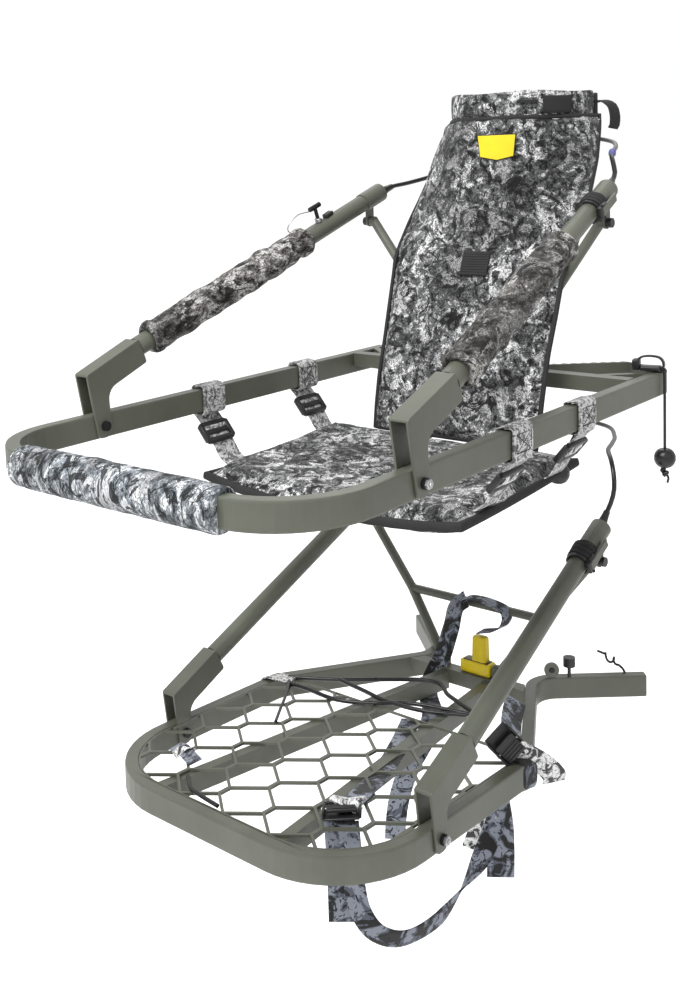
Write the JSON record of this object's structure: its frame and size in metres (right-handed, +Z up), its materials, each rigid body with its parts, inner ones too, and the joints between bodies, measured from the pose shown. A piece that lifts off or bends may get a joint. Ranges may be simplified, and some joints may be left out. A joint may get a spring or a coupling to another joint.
{
  "type": "climbing tree stand",
  "caption": "Two-section climbing tree stand: a seat section with padded arms, cushions and a brace, and a mesh-floored foot platform, each with a covered cable round the trunk",
  "frame": {"origin": "the point where the trunk's axis crosses the mid height of the seat section's side rails", "axes": "+Z up along the trunk, -Y towards the front bar, +X to the sitter's left"},
  "size_m": [0.6349, 1.1851, 1.1872],
  "materials": {
    "powder_coat": "satin",
    "black_metal": "satin",
    "black_plastic": "matte",
    "rubber": "matte",
    "camo_fabric": "matte",
    "webbing": "matte",
    "dark_webbing": "matte",
    "yellow_plastic": "gloss",
    "steel": "brushed"
  },
  "bodies": {
    "seat_frame": {"seat_rail": "powder_coat", "seat_rear_tube": "powder_coat", "seat_corner_left": "powder_coat", "seat_corner_right": "powder_coat", "seat_tree_blade": "powder_coat", "seat_hinge_rod": "steel", "front_pad": "camo_fabric", "seat_bolt_left": "black_metal", "seat_bolt_right": "black_metal", "seat_strap_front_left": "webbing", "seat_strap_front_right": "webbing", "seat_strap_rear_left": "webbing", "seat_strap_rear_right": "webbing", "seat_buckle_front_left": "black_plastic", "seat_buckle_front_right": "black_plastic", "seat_buckle_rear_left": "black_plastic", "seat_buckle_rear_right": "black_plastic", "seat_panel": "camo_fabric", "back_panel": "camo_fabric", "back_strap": "camo_fabric", "tie_cord": "black_plastic", "tie_ball": "rubber"},
    "seat_arm_left_body": {"seat_bracket_left": "powder_coat", "seat_arm_left": "powder_coat", "arm_sleeve_left": "camo_fabric", "seat_lock_clamp": "black_plastic", "seat_cable": "black_plastic"},
    "seat_arm_right_body": {"seat_bracket_right": "powder_coat", "seat_arm_right": "powder_coat", "arm_sleeve_right": "camo_fabric"},
    "seat_brace_body": {"seat_brace": "powder_coat"},
    "seat_lever_body": {"seat_lock_lever": "powder_coat"},
    "cable_pin_body": {"cable_pin": "black_metal"},
    "seat_knob_left_body": {"seat_knob_left": "black_plastic"},
    "seat_knob_right_body": {"seat_knob_right": "black_plastic"},
    "platform_frame": {"platform_rail": "powder_coat", "platform_rear_tube": "powder_coat", "platform_brace_bolt_left": "black_metal", "platform_brace_bolt_right": "black_metal", "platform_stringer_left": "powder_coat", "platform_stringer_right": "powder_coat", "platform_mesh": "powder_coat", "peg_base": "yellow_plastic", "lock_peg": "yellow_plastic", "wing_lug_left": "powder_coat", "wing_lug_right": "powder_coat", "platform_bolt_left": "black_metal", "platform_bolt_right": "black_metal", "carry_strap": "dark_webbing"},
    "platform_arm_left_body": {"platform_bracket_left": "powder_coat", "platform_arm_left": "powder_coat", "platform_lock_clamp": "black_plastic", "platform_cable": "black_plastic"},
    "platform_arm_right_body": {"platform_bracket_right": "powder_coat", "platform_arm_right": "powder_coat"},
    "platform_brace_body": {"platform_brace": "powder_coat"},
    "platform_lever_body": {"platform_lock_lever": "powder_coat"},
    "platform_knob_left_body": {"platform_knob_left": "black_plastic"},
    "platform_knob_right_body": {"platform_knob_right": "black_plastic"},
    "wing_knob_body": {"wing_knob": "black_plastic"}
  },
  "joints": [
    {"name": "platform_climb", "type": "slide", "parent": "seat_frame", "child": "platform_frame", "axis": [0, 0, 1], "range_m": [-0.35, 0.08]},
    {"name": "seat_arm_left_hinge", "type": "hinge", "parent": "seat_frame", "child": "seat_arm_left_body", "pos_m": [0.29, -0.771, 0], "axis": [1, 0, 0], "range_deg": [-16, 0]},
    {"name": "seat_arm_right_hinge", "type": "hinge", "parent": "seat_frame", "child": "seat_arm_right_body", "pos_m": [-0.29, -0.771, 0], "axis": [1, 0, 0], "range_deg": [-16, 0]},
    {"name": "seat_brace_hinge", "type": "hinge", "parent": "seat_frame", "child": "seat_brace_body", "pos_m": [0, -0.148, 0.038], "axis": [1, 0, 0], "range_deg": [-80, 0]},
    {"name": "seat_lever_hinge", "type": "hinge", "parent": "seat_arm_left_body", "child": "seat_lever_body", "pos_m": [0.26375, -0.2121, 0.29124], "axis": [0, -0.3608, 0.9326], "range_deg": [-50, 0]},
    {"name": "cable_pin_lift", "type": "slide", "parent": "seat_arm_right_body", "child": "cable_pin_body", "axis": [0, -0.3608, 0.9326], "range_m": [0, 0.04]},
    {"name": "seat_knob_left_pull", "type": "slide", "parent": "seat_arm_left_body", "child": "seat_knob_left_body", "axis": [1, 0, 0], "range_m": [0, 0.02]},
    {"name": "seat_knob_right_pull", "type": "slide", "parent": "seat_arm_right_body", "child": "seat_knob_right_body", "axis": [-1, 0, 0], "range_m": [0, 0.02]},
    {"name": "platform_arm_left_hinge", "type": "hinge", "parent": "platform_frame", "child": "platform_arm_left_body", "pos_m": [0.23521, -0.67173, -0.51547], "axis": [0.9993, -0.0326, 0.0199], "range_deg": [-14, 0]},
    {"name": "platform_arm_right_hinge", "type": "hinge", "parent": "platform_frame", "child": "platform_arm_right_body", "pos_m": [-0.27242, -0.65519, -0.52556], "axis": [0.9993, -0.0326, 0.0199], "range_deg": [-14, 0]},
    {"name": "platform_brace_hinge", "type": "hinge", "parent": "platform_frame", "child": "platform_brace_body", "pos_m": [-0.00387, -0.2047, -0.51029], "axis": [0.9993, -0.0326, 0.0199], "range_deg": [-70, 0]},
    {"name": "platform_lever_hinge", "type": "hinge", "parent": "platform_arm_left_body", "child": "platform_lever_body", "pos_m": [0.25672, -0.2502, -0.26635], "axis": [-0.0314, -0.4052, 0.9137], "range_deg": [-50, 0]},
    {"name": "platform_knob_left_pull", "type": "slide", "parent": "platform_arm_left_body", "child": "platform_knob_left_body", "axis": [0.9993, -0.0326, 0.0199], "range_m": [0, 0.02]},
    {"name": "platform_knob_right_pull", "type": "slide", "parent": "platform_arm_right_body", "child": "platform_knob_right_body", "axis": [-0.9993, 0.0326, -0.0199], "range_m": [0, 0.02]},
    {"name": "wing_knob_pull", "type": "slide", "parent": "platform_frame", "child": "wing_knob_body", "axis": [-0.0183, 0.0481, 0.9987], "range_m": [0, 0.012]}
  ],
  "couplings": [
    {"joint": "seat_arm_right_hinge", "follows": "seat_arm_left_hinge", "ratio": 1},
    {"joint": "seat_brace_hinge", "follows": "seat_arm_left_hinge", "ratio": 5},
    {"joint": "platform_arm_right_hinge", "follows": "platform_arm_left_hinge", "ratio": 1},
    {"joint": "platform_brace_hinge", "follows": "platform_arm_left_hinge", "ratio": 5}
  ]
}
